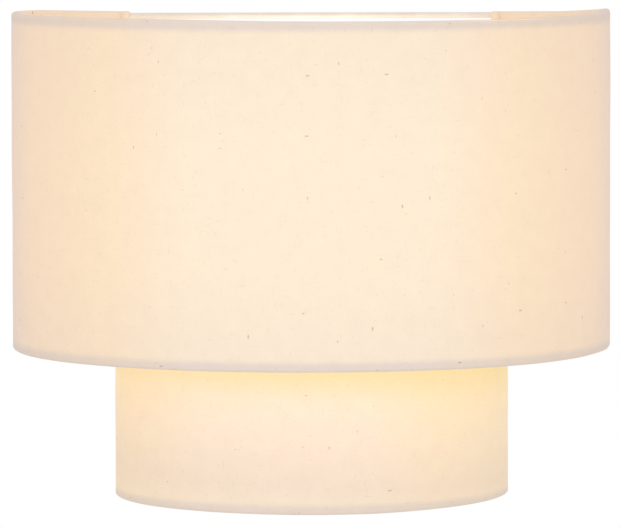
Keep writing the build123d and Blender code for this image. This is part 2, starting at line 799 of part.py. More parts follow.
with BuildPart() as grub_screw:
    grub_tip = arm_radius + part_seat - arm_reach
    rod_between((0, grub_tip, grub_z), (0, grub_tip + grub_length, grub_z), grub_radius)
    slot_low = (-grub_radius, grub_tip + grub_length * (1 - slot_share), grub_z - slot_share)
    slot_high = (grub_radius, grub_tip + grub_length, grub_z + slot_share)
    block_between(slot_low, slot_high, Mode.SUBTRACT)
grub_screw.part.label = "grub_screw"
export_step(grub_screw.part, "parts/grub_screw.step")

with BuildPart() as holder_sleeve:
    sleeve_inside = holder_radius - holder_wall
    turned(
        (
            (sleeve_inside, cap_top + part_seat),
            (holder_radius, cap_top + part_seat),
            (holder_radius, mouth_z - mouth_lip),
            (holder_radius - mouth_lip, mouth_z),
            (mouth_radius, mouth_z),
            (mouth_radius, mouth_z - mouth_lip),
            (sleeve_inside, mouth_z - mouth_lip),
        )
    )
holder_sleeve.part.label = "holder_sleeve"
export_step(holder_sleeve.part, "parts/holder_sleeve.step")

with BuildPart() as holder_insert:
    insert_radius = sleeve_inside - insert_fit
    with BuildSketch(Plane.XY.offset(cap_top + part_seat)):
        with Locations((0, -arm_reach)):
            Circle(insert_radius)
    extrude(amount=insert_height - part_seat)
    with BuildSketch(Plane.XY.offset(cap_top)):
        with Locations(*[(side * wire_pitch / 2, -arm_reach) for side, _ in sides]):
            Circle(wire_radius + insert_fit)
        with Locations(*contact_places):
            Circle(contact_screw_radius + running_clearance)
    extrude(amount=insert_height * 3 / 4, mode=Mode.SUBTRACT)
holder_insert.part.label = "holder_insert"
export_step(holder_insert.part, "parts/holder_insert.step")

with BuildPart() as contact_screws:
    for place_x, place_y in contact_places:
        seat = Plane(origin=(place_x, place_y, cap_top + part_seat), z_dir=(0, 0, -1))
        pan_head_screw(
            seat,
            contact_screw_head,
            contact_screw_head_height,
            contact_screw_radius,
            insert_height / 2,
        )
contact_screws.part.label = "contact_screws"
export_step(contact_screws.part, "parts/contact_screws.step")

with BuildPart() as thread_shell:
    turned(thread_profile(shell_radius, shell_wall, seat_z))
    flange_top = seat_z + contact_sheet
    rim = shell_radius + shell_wall
    turned(((shell_flange_bore, seat_z), (rim, seat_z), (rim, flange_top), (shell_flange_bore, flange_top)))
thread_shell.part.label = "thread_shell"
export_step(thread_shell.part, "parts/thread_shell.step")

with BuildPart() as centre_contact:
    outer_end = contact_length / 2
    foot_end = outer_end - contact_foot
    top_end = foot_end - contact_slope
    top_z = seat_z + contact_rise
    right_half = (
        (outer_end, seat_z),
        (outer_end, seat_z + contact_sheet),
        (foot_end, seat_z + contact_sheet),
        (top_end, top_z + contact_sheet),
    )
    under_half = ((top_end - contact_sheet, top_z), (foot_end - contact_sheet, seat_z))
    left_half = [(-across, height) for across, height in right_half[::-1]]
    under_left = [(-across, height) for across, height in under_half[::-1]]
    with BuildSketch(wall_view(arm_reach)):
        with BuildLine():
            Polyline(*right_half, *left_half, *under_left, *under_half, close=True)
        make_face()
    extrude(amount=contact_width / 2, both=True)
centre_contact.part.label = "centre_contact"
export_step(centre_contact.part, "parts/centre_contact.step")

# ---------------------------------------------------------------------------------------------
# The wires
# ---------------------------------------------------------------------------------------------

wire_turn_y = -5.0  # where the wires turn into the arm
wire_leave_x = -27.0  # where the wires first bend after the block
wire_stop_z = cap_top + insert_height / 2
lead_z = arm_top - wire_radius


def wires_up_the_arm(side):
    """Last stretch of a lampholder wire: through the arm, up, and out to its terminal."""
    in_arm = side * wire_spread
    return [
        (in_arm, wire_turn_y, arm_z),
        (in_arm, -arm_reach, arm_z),
        (in_arm, -arm_reach, lead_z),
        (side * wire_pitch / 2, -arm_reach, cap_top - wire_radius),
        (side * wire_pitch / 2, -arm_reach, wire_stop_z),
    ]


def wires_off_the_block(height):
    """First stretch of a wire, straight out of its pole."""
    return [(barrel_mouth_x, block_y, height), (wire_leave_x, block_y, height)]


live_height, neutral_height, earth_height = pole_heights
live_route = [*wires_off_the_block(live_height), (-15, -7, arm_z - 1.2), *wires_up_the_arm(-1)]
neutral_route = [*wires_off_the_block(neutral_height), (-5, -6, -25), *wires_up_the_arm(1)]
earth_route = [
    *wires_off_the_block(earth_height),
    (-12, -5.5, -17.5),
    (2, -5, -19),
    (earth_x, lug_barrel_y, -20),
    (earth_x, lug_barrel_y, wire_stop[2] - part_seat),
]

with BuildPart() as live_wire:
    wire_along("live_wire", live_route)
live_wire.part.label = "live_wire"
export_step(live_wire.part, "parts/live_wire.step")

with BuildPart() as neutral_wire:
    wire_along("neutral_wire", neutral_route)
neutral_wire.part.label = "neutral_wire"
export_step(neutral_wire.part, "parts/neutral_wire.step")

with BuildPart() as earth_wire:
    wire_along("earth_wire", earth_route)
earth_wire.part.label = "earth_wire"
export_step(earth_wire.part, "parts/earth_wire.step")

# ---------------------------------------------------------------------------------------------
# The lamp
# ---------------------------------------------------------------------------------------------

tip_top = lamp_tip_z + lamp_tip_height

with BuildPart() as bulb_tip:
    shoulder = lamp_tip_radius * 2 / 3
    turned(
        (
            (0, lamp_tip_z),
            (shoulder, lamp_tip_z),
            (lamp_tip_radius, lamp_tip_z + lamp_tip_radius - shoulder),
            (lamp_tip_radius, tip_top),
            (0, tip_top),
        )
    )
bulb_tip.part.label = "bulb_tip"
export_step(bulb_tip.part, "parts/bulb_tip.step")

with BuildPart() as bulb_insulator:
    turned(
        (
            (0, tip_top),
            (insulator_base_radius, tip_top),
            (lamp_cap_radius - thread_depth, lamp_cap_z),
            (0, lamp_cap_z),
        )
    )
bulb_insulator.part.label = "bulb_insulator"
export_step(bulb_insulator.part, "parts/bulb_insulator.step")

with BuildPart() as bulb_cap_shell:
    inside = lamp_cap_radius - thread_depth - lamp_cap_wall
    turned(thread_profile(inside, lamp_cap_wall, lamp_cap_z))
bulb_cap_shell.part.label = "bulb_cap_shell"
export_step(bulb_cap_shell.part, "parts/bulb_cap_shell.step")

with BuildPart() as bulb_housing:
    under_deck = board_z - housing_wall
    turned(
        (
            (housing_bore, housing_z),
            (housing_foot_radius, housing_z),
            (housing_top_radius, board_z),
            (deck_bore, board_z),
            (deck_bore, under_deck),
            (housing_top_radius - 2 * housing_wall, under_deck),
            (housing_foot_radius - housing_wall / 2, housing_z + housing_wall),
            (housing_bore, housing_z + housing_wall),
        )
    )
bulb_housing.part.label = "bulb_housing"
export_step(bulb_housing.part, "parts/bulb_housing.step")

with BuildPart() as bulb_driver_board:
    driver_z = housing_z + housing_wall + part_seat
    low = (-driver_width / 2, -arm_reach - driver_sheet / 2, driver_z)
    high = (driver_width / 2, driver_sheet / 2 - arm_reach, driver_z + driver_height)
    block_between(low, high)
    capacitor_y = capacitor_radius + driver_sheet / 2 - part_seat - arm_reach
    capacitor_foot = (0, capacitor_y, driver_z + driver_height - capacitor_height)
    rod_between(capacitor_foot, (0, capacitor_y, driver_z + driver_height), capacitor_radius)
bulb_driver_board.part.label = "bulb_driver_board"
export_step(bulb_driver_board.part, "parts/bulb_driver_board.step")

with BuildPart() as bulb_board:
    board_low = board_z + part_seat
    with BuildSketch(Plane.XY.offset(board_low)):
        with Locations((0, -arm_reach)):
            Circle(board_radius)
    extrude(amount=board_sheet)
    with BuildSketch(Plane.XY.offset(board_low + board_sheet)):
        with Locations((0, -arm_reach)):
            with PolarLocations(chip_circle, chip_count):
                Rectangle(chip_size, chip_size)
    extrude(amount=chip_height)
bulb_board.part.label = "bulb_board"
export_step(bulb_board.part, "parts/bulb_board.step")

with BuildPart() as bulb_globe:
    with BuildSketch(wall_view(arm_reach)):
        with Locations((0, globe_z)):
            Circle(globe_radius)
            Circle(globe_radius - globe_wall, mode=Mode.SUBTRACT)
        cut_top = board_z + part_seat
        with Locations((0, cut_top - globe_radius)):
            Rectangle(2 * globe_radius, 2 * globe_radius, mode=Mode.SUBTRACT)
        with Locations((-globe_radius, globe_z)):
            Rectangle(2 * globe_radius, 2 * globe_radius, mode=Mode.SUBTRACT)
    revolve(axis=lamp_axis)
bulb_globe.part.label = "bulb_globe"
export_step(bulb_globe.part, "parts/bulb_globe.step")
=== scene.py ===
# %% [markdown]
# # A fabric shade wall light
#
# The light is a half drum of cream cotton on a wire frame, with a narrower half drum hanging out
# of its underside. It is lit from inside by one opal lamp. The metal, the lampholder and the lamp
# come from the CAD model with better finishes; the two cotton covers are built here as cloth.
#
# Everything is in metres. The wall is the plane Y = 0, the light stands out of it towards -Y, and
# +Z is up.

# %% Load the frame
import json

import bpy
import numpy as np
from mathutils import Matrix, Vector


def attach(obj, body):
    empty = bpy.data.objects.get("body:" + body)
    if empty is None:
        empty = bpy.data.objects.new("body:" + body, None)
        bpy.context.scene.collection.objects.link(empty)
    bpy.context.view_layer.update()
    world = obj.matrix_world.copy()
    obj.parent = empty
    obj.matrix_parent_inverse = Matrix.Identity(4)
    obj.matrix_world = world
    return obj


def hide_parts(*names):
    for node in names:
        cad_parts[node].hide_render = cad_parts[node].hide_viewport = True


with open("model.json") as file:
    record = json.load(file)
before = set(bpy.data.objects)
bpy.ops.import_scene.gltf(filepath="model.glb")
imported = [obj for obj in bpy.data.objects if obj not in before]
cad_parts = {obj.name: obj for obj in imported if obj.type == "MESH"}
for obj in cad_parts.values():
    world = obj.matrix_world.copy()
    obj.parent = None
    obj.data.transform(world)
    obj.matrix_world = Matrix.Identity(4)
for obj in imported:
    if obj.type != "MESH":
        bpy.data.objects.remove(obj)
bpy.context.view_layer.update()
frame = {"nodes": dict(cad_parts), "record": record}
nodes = frame["nodes"]

# %% [markdown]
# ## The camera
#
# The photograph was taken from a long way off, nearly square on and a little above. A camera could
# be matched to it by eye, but how much the rims curve already gives the camera's height over its
# distance. A long lens with a small downward tilt then frames it, so no lens shift is needed.

# %% Camera
photo_wide = 620  # pixels
camera_place = Vector((0.0, -3.400, 0.2307))
camera_pan = np.radians(-0.011)  # to the right
camera_tilt = np.radians(4.117)  # downwards
camera_roll = np.radians(-0.137)
focal_pixels = 6783.9  # focal length in pixels of the photograph's width

lens = bpy.data.cameras.new("photo_camera")
lens.sensor_width = 36.0  # millimetres
lens.lens = focal_pixels * lens.sensor_width / photo_wide
lens.clip_start, lens.clip_end = 0.1, 60.0
camera = bpy.data.objects.new("photo_camera", lens)
bpy.context.scene.collection.objects.link(camera)
turn = (
    Matrix.Rotation(-camera_pan, 4, "Z")
    @ Matrix.Rotation(np.pi / 2 - camera_tilt, 4, "X")
    @ Matrix.Rotation(camera_roll, 4, "Z")
)
camera.matrix_world = Matrix.Translation(camera_place) @ turn
bpy.context.scene.camera = camera
print("lens", round(lens.lens, 1), "mm")

# %% [markdown]
# ## Colours and nodes
#
# Colours are given as screen colours in hex, which are darker than the light they stand for, so
# one function turns them into the linear values that shaders work in. Nodes could be added and
# linked one by one, but a second small function that adds a node with its settings and links
# keeps every material short enough to read.
#
# Sockets that share a name are given by number. On a Math node 0, 1 and 2 are its numbers. On a
# Mix node 0 is the share, 2 and 3 are its two numbers, and 6 and 7 its two colours. On a Map
# Range node 0 is the value, 1 and 2 are the ends of the range that it comes from, and 3 and 4,
# which are 0 and 1 if left out, those of the range that it goes to.


# %% Colour and node helpers
def linear(hex_colour):
    """Linear red, green, blue and alpha of a screen colour: c / 12.92 up to 0.04045, and
    ((c + 0.055) / 1.055) ** 2.4 above it."""
    c = np.array([int(hex_colour[i : i + 2], 16) for i in (1, 3, 5)]) / 255
    low = c <= 0.04045
    return (*np.where(low, c / 12.92, ((c + 0.055) / 1.055) ** 2.4), 1.0)


def feed(tree, node, inputs):
    """Fills a node's inputs, by socket name or number, with a value, or with the output socket of
    another node, which is linked."""
    for name, value in inputs.items():
        if isinstance(value, bpy.types.NodeSocket):
            tree.links.new(value, node.inputs[name])
        else:
            node.inputs[name].default_value = value


def add(tree, kind, inputs=None, **settings):
    """Adds a node with its own properties as settings, and its inputs as feed takes them."""
    made = tree.nodes.new(kind)
    for name, value in settings.items():
        setattr(made, name, value)
    feed(tree, made, inputs or {})
    return made


def new_material(name):
    """A material with one Principled shader wired to its output; returns both and its node tree."""
    material = bpy.data.materials.new(name)
    material.use_nodes = True
    tree = material.node_tree
    tree.nodes.clear()
    shader = add(tree, "ShaderNodeBsdfPrincipled")
    add(tree, "ShaderNodeOutputMaterial", {"Surface": shader.outputs["BSDF"]})
    return material, tree, shader


white = linear("#FFFFFF")
print("mid grey is", round(float(linear("#808080")[0]), 3), "as light")

# %% [markdown]
# ## The studio
#
# The photograph is cut out on white. A white room with walls would do, but its bounced light would
# wash the cloth out. So the world is white only where the camera, a reflection or glass looks
# straight at it; as a light it is a plain level at which a colour renders about as it is written.
# One large soft lamp, straight in front and a little above, gives the drums a little shape.


# %% World and lamp
def seen_directly(tree):
    """1 for a ray from the camera, a reflection or glass, and 0 for one that carries light: the
    largest of the three."""
    path = add(tree, "ShaderNodeLightPath")
    largest = path.outputs["Is Camera Ray"]
    for kind in ("Is Glossy Ray", "Is Transmission Ray"):
        largest = add(
            tree, "ShaderNodeMath", {0: largest, 1: path.outputs[kind]}, operation="MAXIMUM"
        ).outputs[0]
    return largest


soft_level = 0.80  # the world's strength as a light
softbox_place = Vector((0.0, -2.3, 0.35))
softbox_aim = Vector((0.0, -0.05, 0.0))

world = bpy.data.worlds.new("studio")
world.use_nodes = True
bpy.context.scene.world = world
bpy.context.scene.view_settings.view_transform = "Standard"
sky = world.node_tree
sky.nodes.clear()
level = add(sky, "ShaderNodeMapRange", {0: seen_directly(sky), 3: soft_level, 4: 1.0})
backdrop = add(sky, "ShaderNodeBackground", {"Color": white, "Strength": level.outputs[0]})
add(sky, "ShaderNodeOutputWorld", {"Surface": backdrop.outputs[0]})

softbox = bpy.data.lights.new("softbox", "AREA")
softbox.shape = "RECTANGLE"
softbox.size, softbox.size_y = 1.6, 1.2
softbox.energy = 8.0  # watts
lamp = bpy.data.objects.new("softbox", softbox)
bpy.context.scene.collection.objects.link(lamp)
lamp.location = softbox_place
lamp.rotation_euler = (softbox_aim - softbox_place).to_track_quat("-Z", "Y").to_euler()
print("softbox", softbox.size, "by", round(softbox.size_y, 1), "m,", softbox.energy, "W")

# %% [markdown]
# The light hangs on a wall, so the floor is far below it, as in a room. A plane is all it needs.
# Seen from underneath it lets the camera through, so that it never hides the light.

# %% Floor
floor_height = -1.70
floor_half = 6.0
corners = ((-1, -1), (1, -1), (1, 1), (-1, 1))

floor_mesh = bpy.data.meshes.new("floor")
floor_mesh.from_pydata(
    [(x * floor_half, y * floor_half, floor_height) for x, y in corners], [], [(0, 1, 2, 3)]
)
floor = bpy.data.objects.new("floor", floor_mesh)
bpy.context.scene.collection.objects.link(floor)
pale = bpy.data.materials.new("pale_floor")
pale.use_nodes = True
tree = pale.node_tree
tree.nodes.clear()
matt = add(tree, "ShaderNodeBsdfDiffuse", {"Color": linear("#F2F1EE")})
lit = add(tree, "ShaderNodeEmission", {"Color": white, "Strength": 1.0})
clear = add(tree, "ShaderNodeBsdfTransparent")
from_above = add(
    tree, "ShaderNodeMixShader", {0: seen_directly(tree), 1: matt.outputs[0], 2: lit.outputs[0]}
)
side = add(tree, "ShaderNodeNewGeometry")
either_side = add(
    tree,
    "ShaderNodeMixShader",
    {0: side.outputs["Backfacing"], 1: from_above.outputs[0], 2: clear.outputs[0]},
)
add(tree, "ShaderNodeOutputMaterial", {"Surface": either_side.outputs[0]})
floor_mesh.materials.append(pale)
print("floor at", floor_height, "m")

# %% [markdown]
# ## The cotton covers
#
# Each tier is one length of natural cotton. It is stretched round two half-round rings, rolled
# over each ring into a hem about 5 mm tall, and turned round an upright wire at each end, so that
# a flap of it lies along the wall. A solid with a thickness would do, but cloth that is computed
# as a sheet keeps its own measure: every point knows how far along and how far up the cloth it
# is, and the weave follows that. So a cover is a surface of two parameters: a profile with its
# rolled hems, carried along the half-round path.
#
# The cloth has to fit its wire frame. Its sizes could be typed in again, but then they would
# have to be kept right in two places, so they are read off the CAD model's pieces.


# %% Sizes from the CAD model
def box_of(name):
    """Lowest and highest corner of a CAD piece, to a hundredth of a millimetre."""
    vertices = nodes[name].data.vertices
    points = np.empty(3 * len(vertices), np.float32)
    vertices.foreach_get("co", points)
    points = points.reshape(-1, 3)
    return [[round(float(x), 5) for x in ends] for ends in (points.min(0), points.max(0))]


upper_low, upper_high = box_of("upper_cover")
lower_low, lower_high = box_of("lower_cover")
upper_radius, upper_corner = -upper_low[1], 0.008
lower_radius, lower_corner = -lower_low[1], 0.006
upper_bottom, upper_top = upper_low[2], upper_high[2]
lower_bottom, lower_top = lower_low[2], lower_high[2]
wall_gap = -upper_high[1]
print("upper tier: radius", upper_radius, "from", upper_bottom, "to", upper_top)
print("lower tier: radius", lower_radius, "from", lower_bottom, "to", lower_top)

# %% [markdown]
# Both the path and the profile are made of straight and round stretches. A curve object could
# hold them, but an array of points is what the sheet is computed from, and the outward normals
# come with it.

# %% Lines made of straight and round stretches
finest_turn = np.radians(8)  # the most that a round stretch turns from point to point


def run_of(stretches, step):
    """Points, outward normals and distances along straight and round stretches laid end to end,
    with points no farther apart than step. Straight: p = a + s (b - a), with one normal. Round:
    p = c + r (cos q, sin q), whose normal is (cos q, sin q), for angles q from start to end."""
    points, normals = [], []
    for kind, *facts in stretches:
        if kind == "straight":
            a, b, normal = (np.array(x, float) for x in facts)
            count = max(int(np.ceil(np.linalg.norm(b - a) / step)), 1)
            share = np.linspace(0, 1, count + 1)[:-1, None]
            points.append(a + share * (b - a))
            normals.append(np.tile(normal, (count, 1)))
            last, last_normal = b, normal
        else:
            centre, radius, start, end = np.array(facts[0], float), *facts[1:]
            sweep = abs(np.radians(end - start))
            count = int(np.ceil(max(radius * sweep / step, sweep / finest_turn)))
            q = np.radians(np.linspace(start, end, count + 1))
            ring = np.stack([np.cos(q), np.sin(q)], 1)
            points.append(centre + radius * ring[:-1])
            normals.append(ring[:-1])
            last, last_normal = centre + radius * ring[-1], ring[-1]
    points = np.vstack([*points, last])
    normals = np.vstack([*normals, last_normal])
    along = np.concatenate([[0], np.cumsum(np.linalg.norm(np.diff(points, axis=0), axis=1))])
    return points, normals, along


quarter = run_of([("round", (0, 0), 1.0, 0, 90)], 0.01)[2][-1]
print("a quarter of a unit circle measures", round(float(quarter), 4))

# %% [markdown]
# Seen from above, half of a cover runs from the middle of the front round the big circle, round a
# small corner, back along the wall, and round the upright wire. The other half could be computed
# in the same way, but it is its mirror image, so it is turned over from the first.

# %% The path of a tier
cloth = 0.0005  # thickness of the cotton
bond = 0.0001  # glue between the cotton and a wire
strut_low, strut_high = box_of("right_back_strut")
fold_x = strut_low[0] - bond - cloth  # inner end of each flap
fold_front = strut_low[1] - bond - cloth  # front of the fold round the upright wire
fold_front_round = (strut_high[0] - strut_low[0]) / 2 + bond + cloth  # the wrap round the wire
fold_back_round = 0.0015  # where a flap turns away from the wall
fold_end_y = -0.0060  # where the cloth ends, inside the shade
hem_narrows = (0.0945, 0.0935)  # where the hem of a flap narrows to go round the wire
path_step = 0.003  # farthest that two points of the path lie apart


def tier_path(radius, corner):
    """The outside of a tier seen from above, from the end of its left fold to the end of its
    right one: points, outward normals, distance from the middle of the front, and a number that is
    0 on the cover and 1 in the folds."""
    centre_y = -(wall_gap + corner)
    centre_x = np.sqrt((radius - corner) ** 2 - centre_y**2)
    corner_angle = np.degrees(np.arctan2(centre_y, centre_x))
    inner_x = [x for x in hem_narrows if x < centre_x]
    flap = [centre_x, *inner_x, fold_x + fold_back_round]
    back_centre = (fold_x + fold_back_round, -wall_gap - fold_back_round)
    wrap_x, wrap_y = fold_x + fold_front_round, fold_front + fold_front_round
    end_x = fold_x + 2 * fold_front_round
    stretches = [
        ("round", (0, 0), radius, -90, corner_angle),
        ("round", (centre_x, centre_y), corner, corner_angle, 90),
        *(("straight", (a, -wall_gap), (b, -wall_gap), (0, 1)) for a, b in zip(flap, flap[1:])),
        ("round", back_centre, fold_back_round, 90, 180),
        ("straight", (fold_x, back_centre[1]), (fold_x, wrap_y), (-1, 0)),
        ("round", (wrap_x, wrap_y), fold_front_round, 180, 360),
        ("straight", (end_x, wrap_y), (end_x, fold_end_y), (1, 0)),
    ]
    points, normals, along = run_of(stretches, path_step)
    turned = np.unwrap(np.arctan2(normals[:, 1], normals[:, 0]))
    folded = np.clip((turned - np.pi / 2) / (np.pi / 4), 0, 1)
    mirror = np.array([-1, 1])
    points = np.vstack([points[:0:-1] * mirror, points])
    normals = np.vstack([normals[:0:-1] * mirror, normals])
    along = np.concatenate([-along[:0:-1], along])
    return points, normals, along, np.concatenate([folded[:0:-1], folded])


print("points round the upper tier:", len(tier_path(upper_radius, upper_corner)[0]))

# %% [markdown]
# From the side, the cloth starts inside the shade at the lower edge of its hem, goes under the
# lower ring, straight up the outside, over the upper ring and down inside again. A sweep of one
# closed outline would make a solid wall; an open line makes cloth, with its hems rolled. How far
# inside a point lies is counted from the outside of the tier.

# %% The profile of a tier
hem = 0.0050  # height of a rolled hem
hem_depth = 0.0047  # from the outside of the tier to the inner face of a hem
hem_round = 0.0018  # radius of a hem's edges
profile_step = 0.004  # farthest that two points of the profile lie apart


def tier_profile(bottom, top):
    """Points (inset, height) of the cloth's outer face with their normals, and the distance up the
    cloth."""
    inner, r = hem_depth, hem_round
    stretches = [
        ("straight", (inner, bottom + hem), (inner, bottom + r), (1, 0)),
        ("round", (inner - r, bottom + r), r, 0, -90),
        ("straight", (inner - r, bottom), (r, bottom), (0, -1)),
        ("round", (r, bottom + r), r, -90, -180),
        ("straight", (0, bottom + r), (0, bottom + hem), (-1, 0)),
        ("straight", (0, bottom + hem), (0, top - hem), (-1, 0)),
        ("straight", (0, top - hem), (0, top - r), (-1, 0)),
        ("round", (r, top - r), r, 180, 90),
        ("straight", (r, top), (inner - r, top), (0, 1)),
        ("round", (inner - r, top - r), r, 90, 0),
        ("straight", (inner, top - r), (inner, top - hem), (1, 0)),
    ]
    return run_of(stretches, profile_step)


print("points up the upper tier:", len(tier_profile(upper_bottom, upper_top)[0]))

# %% [markdown]
# By hand such cloth is never quite true. Noise could shake it, but slow waves a tenth of a
# millimetre high are smoother and the same each time. Each rim has its own unevenness on top: how
# far it stands up or sags, in millimetres, at places along it. The upper one stands up at both
# corners, where the cloth bunches as it turns.

# %% Unevenness
wave_height = 1.1e-4
long_wave = (61, 37)  # radians in a metre along and up the cloth: 103 by 170 mm
short_wave = (143, 83)  # 44 by 76 mm
short_slant = 29  # how much the short wave also turns on the way up
long_phase, short_phase = (1.3, 0.4), 2.1


def eased(share):
    """A smooth way from 0 to 1: 3 share ** 2 - 2 share ** 3."""
    return share * share * (3 - 2 * share)


def slow_waves(s, w):
    """How far in the cloth lies at s along and w up it: a long wave, sin s sin w, and a short one
    that slants, times their height."""
    long = np.sin(s * long_wave[0] + long_phase[0]) * np.sin(w * long_wave[1] + long_phase[1])
    short = np.sin(s * short_wave[0] + w * short_slant) * np.sin(w * short_wave[1] + short_phase)
    return wave_height * (long + short)


def rim_lift(along, rise, rims):
    """How far each point is lifted: the lower rim's unevenness at the bottom, the upper rim's at
    the top, and an eased mix between, where rise is the share of the height. Rims are places
    along in mm with heights in mm."""
    low_rim, high_rim = (np.interp(along * 1000, *np.array(rim, float).T) / 1000 for rim in rims)
    rise = eased(rise)
    return low_rim[:, None] * (1 - rise) + high_rim[:, None] * rise


upper_rims = (
    [(-300, 0), (0, 0.1), (120, 0.0), (170, 0.3), (215, 0.6), (300, 0.3)],
    [(-300, 0), (-262, 0.6), (-245, 0.9), (-218, 0), (-190, 0), (-150, 0.5), (-70, 0.7), (-10, 0.1)]
    + [(110, -0.3), (150, 0.1), (205, 0.9), (228, 1.2), (246, 0.1), (256, -0.3), (300, -0.3)],
)
lower_rims = (
    [(-200, -0.3), (-60, -0.6), (0, -0.9), (35, -0.8), (70, -0.2), (140, 0.4), (200, 0.4)],
    [(-200, 0), (200, 0)],
)
print("highest point of a rim:", max(height for _, height in upper_rims[1]), "mm")

# %% [markdown]
# The sheet is the profile carried along the path. A Solidify modifier could give it its thickness,
# but it is as easy in the same step: the back of the cloth is its face moved in by the thickness,
# and four strips close its edges.

# %% A mesh from a sheet of points
crease = np.radians(50)  # edges sharper than this aren't smoothed


def strip(a, b):
    """Quads between two rows of vertex numbers."""
    return np.stack([a[:-1], a[1:], b[1:], b[:-1]], 1)


def sheet_quads(across, rows):
    """Quads of a sheet of across by rows points and, numbered on from it, its back: those of the
    face, and those of the back and the four edges."""
    number = np.arange(across * rows).reshape(across, rows)
    behind = number + across * rows
    face = np.stack([number[:-1, :-1], number[1:, :-1], number[1:, 1:], number[:-1, 1:]], 2)
    rest = [
        (face + across * rows)[..., ::-1].reshape(-1, 4),
        strip(behind[:, 0], number[:, 0]),
        strip(number[:, -1], behind[:, -1]),
        strip(number[0], behind[0]),
        strip(behind[-1], number[-1]),
    ]
    return face.reshape(-1, 4), np.concatenate(rest)


def cloth_piece(name, vertices, quads, slots, measure):
    """An object from points, quads, a material slot for each quad, and the place of each point on
    the cloth, which goes into the UV map."""
    mesh = bpy.data.meshes.new(name)
    mesh.from_pydata(vertices.tolist(), [], quads.tolist())
    mesh.polygons.foreach_set("material_index", slots.astype(np.int32))
    mesh.polygons.foreach_set("use_smooth", np.ones(len(quads), bool))
    layer = mesh.uv_layers.new(name="cloth_measure")
    layer.data.foreach_set("uv", measure[quads.ravel()].astype(np.float32).ravel())
    mesh.update()
    mesh.set_sharp_from_angle(angle=crease)
    piece = bpy.data.objects.new(name, mesh)
    bpy.context.scene.collection.objects.link(piece)
    return piece


print("a sheet of 3 by 3 points takes", sum(map(len, sheet_quads(3, 3))), "quads")

# %% [markdown]
# In the folds there is no room for a whole hem, so it narrows. Both tiers have flaps along the
# wall, which can't pass through each other, so the lower tier's top steps down there to just
# below the upper hem. The cloth could be cut there instead, but a step keeps it one sheet.

# %% The cover of a tier
hem_narrowing = 0.7  # share of a hem's depth that it loses in the folds
faces_wall = 0.9  # from this y of its normal on, the cloth lies along the wall
step_starts_y, step_run = -0.0125, 0.0030  # where a lower top at the wall starts, and over how far
outside_share = 0.7  # of the hem's depth that counts as the outside


def cover_sheet(name, radius, corner, bottom, top, step_top, rims, cut_at):
    """A tier's cotton. With u along the path p(u), its normal n(u), and v up the profile
    (t(v), z(v)): P(u, v) = p(u) - t(v) k(u) n(u) + z(v) up, where k narrows the hem in the folds
    from 1 to 0.3. step_top is the top of the part along the wall. rims are the unevenness of the
    lower and the upper rim. cut_at is where on the bolt of cotton the piece is cut, so that two
    pieces don't show the same specks."""
    points, normals, along, folded = tier_path(radius, corner)
    profile, profile_normals, up = tier_profile(bottom, top)
    inset, height = profile[:, 0], profile[:, 1]
    s, w = np.meshgrid(along, up, indexing="ij")

    wide, slim = hem_narrows
    near_fold = np.clip((wide - np.abs(points[:, 0])) / (wide - slim), 0, 1)
    near_fold = np.where(normals[:, 1] > faces_wall, near_fold, 0)
    narrow = 1 - hem_narrowing * np.maximum(near_fold, folded)
    low = eased(np.clip((points[:, 1] - step_starts_y) / step_run, 0, 1))
    tall = 1 - low * (top - step_top) / (top - bottom)
    wave = slow_waves(s, w)
    lift = rim_lift(along, ((height - bottom) / (top - bottom))[None, :], rims)

    sides = []
    for back in (0, cloth):
        t = inset[None, :] * narrow[:, None] - back * profile_normals[None, :, 0]
        z = bottom + (height[None, :] - bottom) * tall[:, None] - back * profile_normals[None, :, 1]
        flat = points[:, None, :] - (t + wave)[..., None] * normals[:, None, :]
        sides.append(np.concatenate([flat, (z + lift)[..., None]], 2).reshape(-1, 3))
    place = np.stack([s.ravel(), w.ravel()], 1) + cut_at

    # slot 0 is the face that the lamp shines through, slot 1 the sides that it shines on
    outside = (profile_normals[:, 0] < 0.5) & (inset < hem_depth * outside_share)
    through = (outside[:-1] & outside[1:])[None, :] & (folded[:-1] + folded[1:] < 1)[:, None]
    face, rest = sheet_quads(*s.shape)
    slots = np.concatenate([np.where(through.ravel(), 0, 1), np.ones(len(rest), int)])
    quads = np.concatenate([face, rest])
    piece = cloth_piece(name, np.concatenate(sides), quads, slots, np.vstack([place, place]))
    flat_size = (float(np.ptp(along)), float(np.ptp(up)))
    print(name, len(quads), "quads, flat", [round(1000 * x, 1) for x in flat_size], "mm")
    return piece, flat_size


# %% [markdown]
# Both tiers come from that one function. They are cut from different places on the bolt, so that
# no slub or speck is seen twice.

# %% Both covers
under_hem = 0.0004  # how far the lower tier's back stays below the upper tier

upper_cover, upper_flat = cover_sheet(
    "upper_cotton",
    upper_radius,
    upper_corner,
    upper_bottom,
    upper_top,
    step_top=upper_top,
    rims=upper_rims,
    cut_at=(0.0, 0.0),
)
lower_cover, lower_flat = cover_sheet(
    "lower_cotton",
    lower_radius,
    lower_corner,
    lower_bottom,
    lower_top,
    step_top=upper_bottom - under_hem,
    rims=lower_rims,
    cut_at=(0.71, 0.37),
)

# %% [markdown]
# ## Cotton
#
# Natural calico is a plain weave in undyed yarn: matt and warm, with a fine grain. A picture of
# cloth could be laid over it, but threads computed from the cloth's own measure have the right
# size everywhere and no seams. In a plain weave each thread goes over one and under the next, so
# ridges along and across the cloth change places like the squares of a chessboard.

# %% Threads
thread = 0.0009  # real thread is 0.45 mm; twice that is the finest that shows


